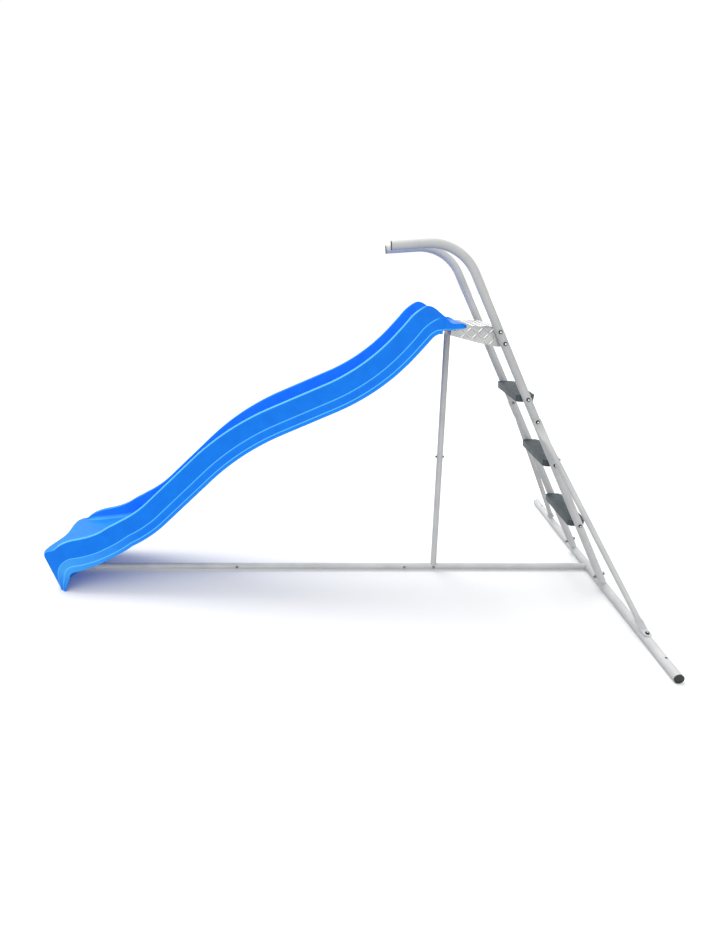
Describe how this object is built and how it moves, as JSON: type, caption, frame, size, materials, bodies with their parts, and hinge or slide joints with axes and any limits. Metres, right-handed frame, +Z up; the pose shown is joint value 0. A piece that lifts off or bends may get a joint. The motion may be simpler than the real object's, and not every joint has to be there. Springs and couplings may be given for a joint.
{
  "type": "pool slide",
  "caption": "Wavy moulded pool slide on a bolted tube frame, with a leaning ladder, hooped handrails, a tread-plate platform and a wide ground crossbar.",
  "frame": {"origin": "on the deck, under the middle of the slide's bounding box", "axes": "+Z up; +X from the slide's exit towards the ladder, along the ground beam; +Y across, to the right of a person coming down the slide"},
  "size_m": [2.6416, 1.63, 1.5365],
  "materials": {
    "chute_plastic": "satin blue UV-stable polyethylene, moulded",
    "tread_plate": "rolled tread plate, dull",
    "powder_coat": "light grey powder coat on steel tube",
    "tread_plastic": "fine-grained slate grey plastic",
    "black_plastic": "black moulded cap",
    "zinc": "zinc-plated fasteners"
  },
  "bodies": {
    "root": {"chute": "chute_plastic", "platform": "tread_plate", "rail_left": "powder_coat", "rail_right": "powder_coat", "rail_plug_left": "black_plastic", "rail_plug_right": "black_plastic", "tread_top": "tread_plastic", "tread_middle": "tread_plastic", "tread_bottom": "tread_plastic", "brace_left": "powder_coat", "brace_right": "powder_coat", "crossbar_centre": "powder_coat", "crossbar_end_left": "powder_coat", "crossbar_end_right": "powder_coat", "crossbar_cap_left": "black_plastic", "crossbar_cap_right": "black_plastic", "beam_rear": "powder_coat", "beam_middle": "powder_coat", "beam_front": "powder_coat", "exit_foot": "powder_coat", "post_lower": "powder_coat", "post_upper": "powder_coat", "platform_bolts": "zinc", "step_bolts": "zinc", "brace_top_bolts": "zinc", "brace_foot_bolts": "zinc", "rail_foot_bolts": "zinc", "lock_nuts": "zinc", "beam_screws": "zinc", "post_bolts": "zinc", "lip_screws": "zinc", "apron_bolt": "zinc"}
  },
  "joints": []
}
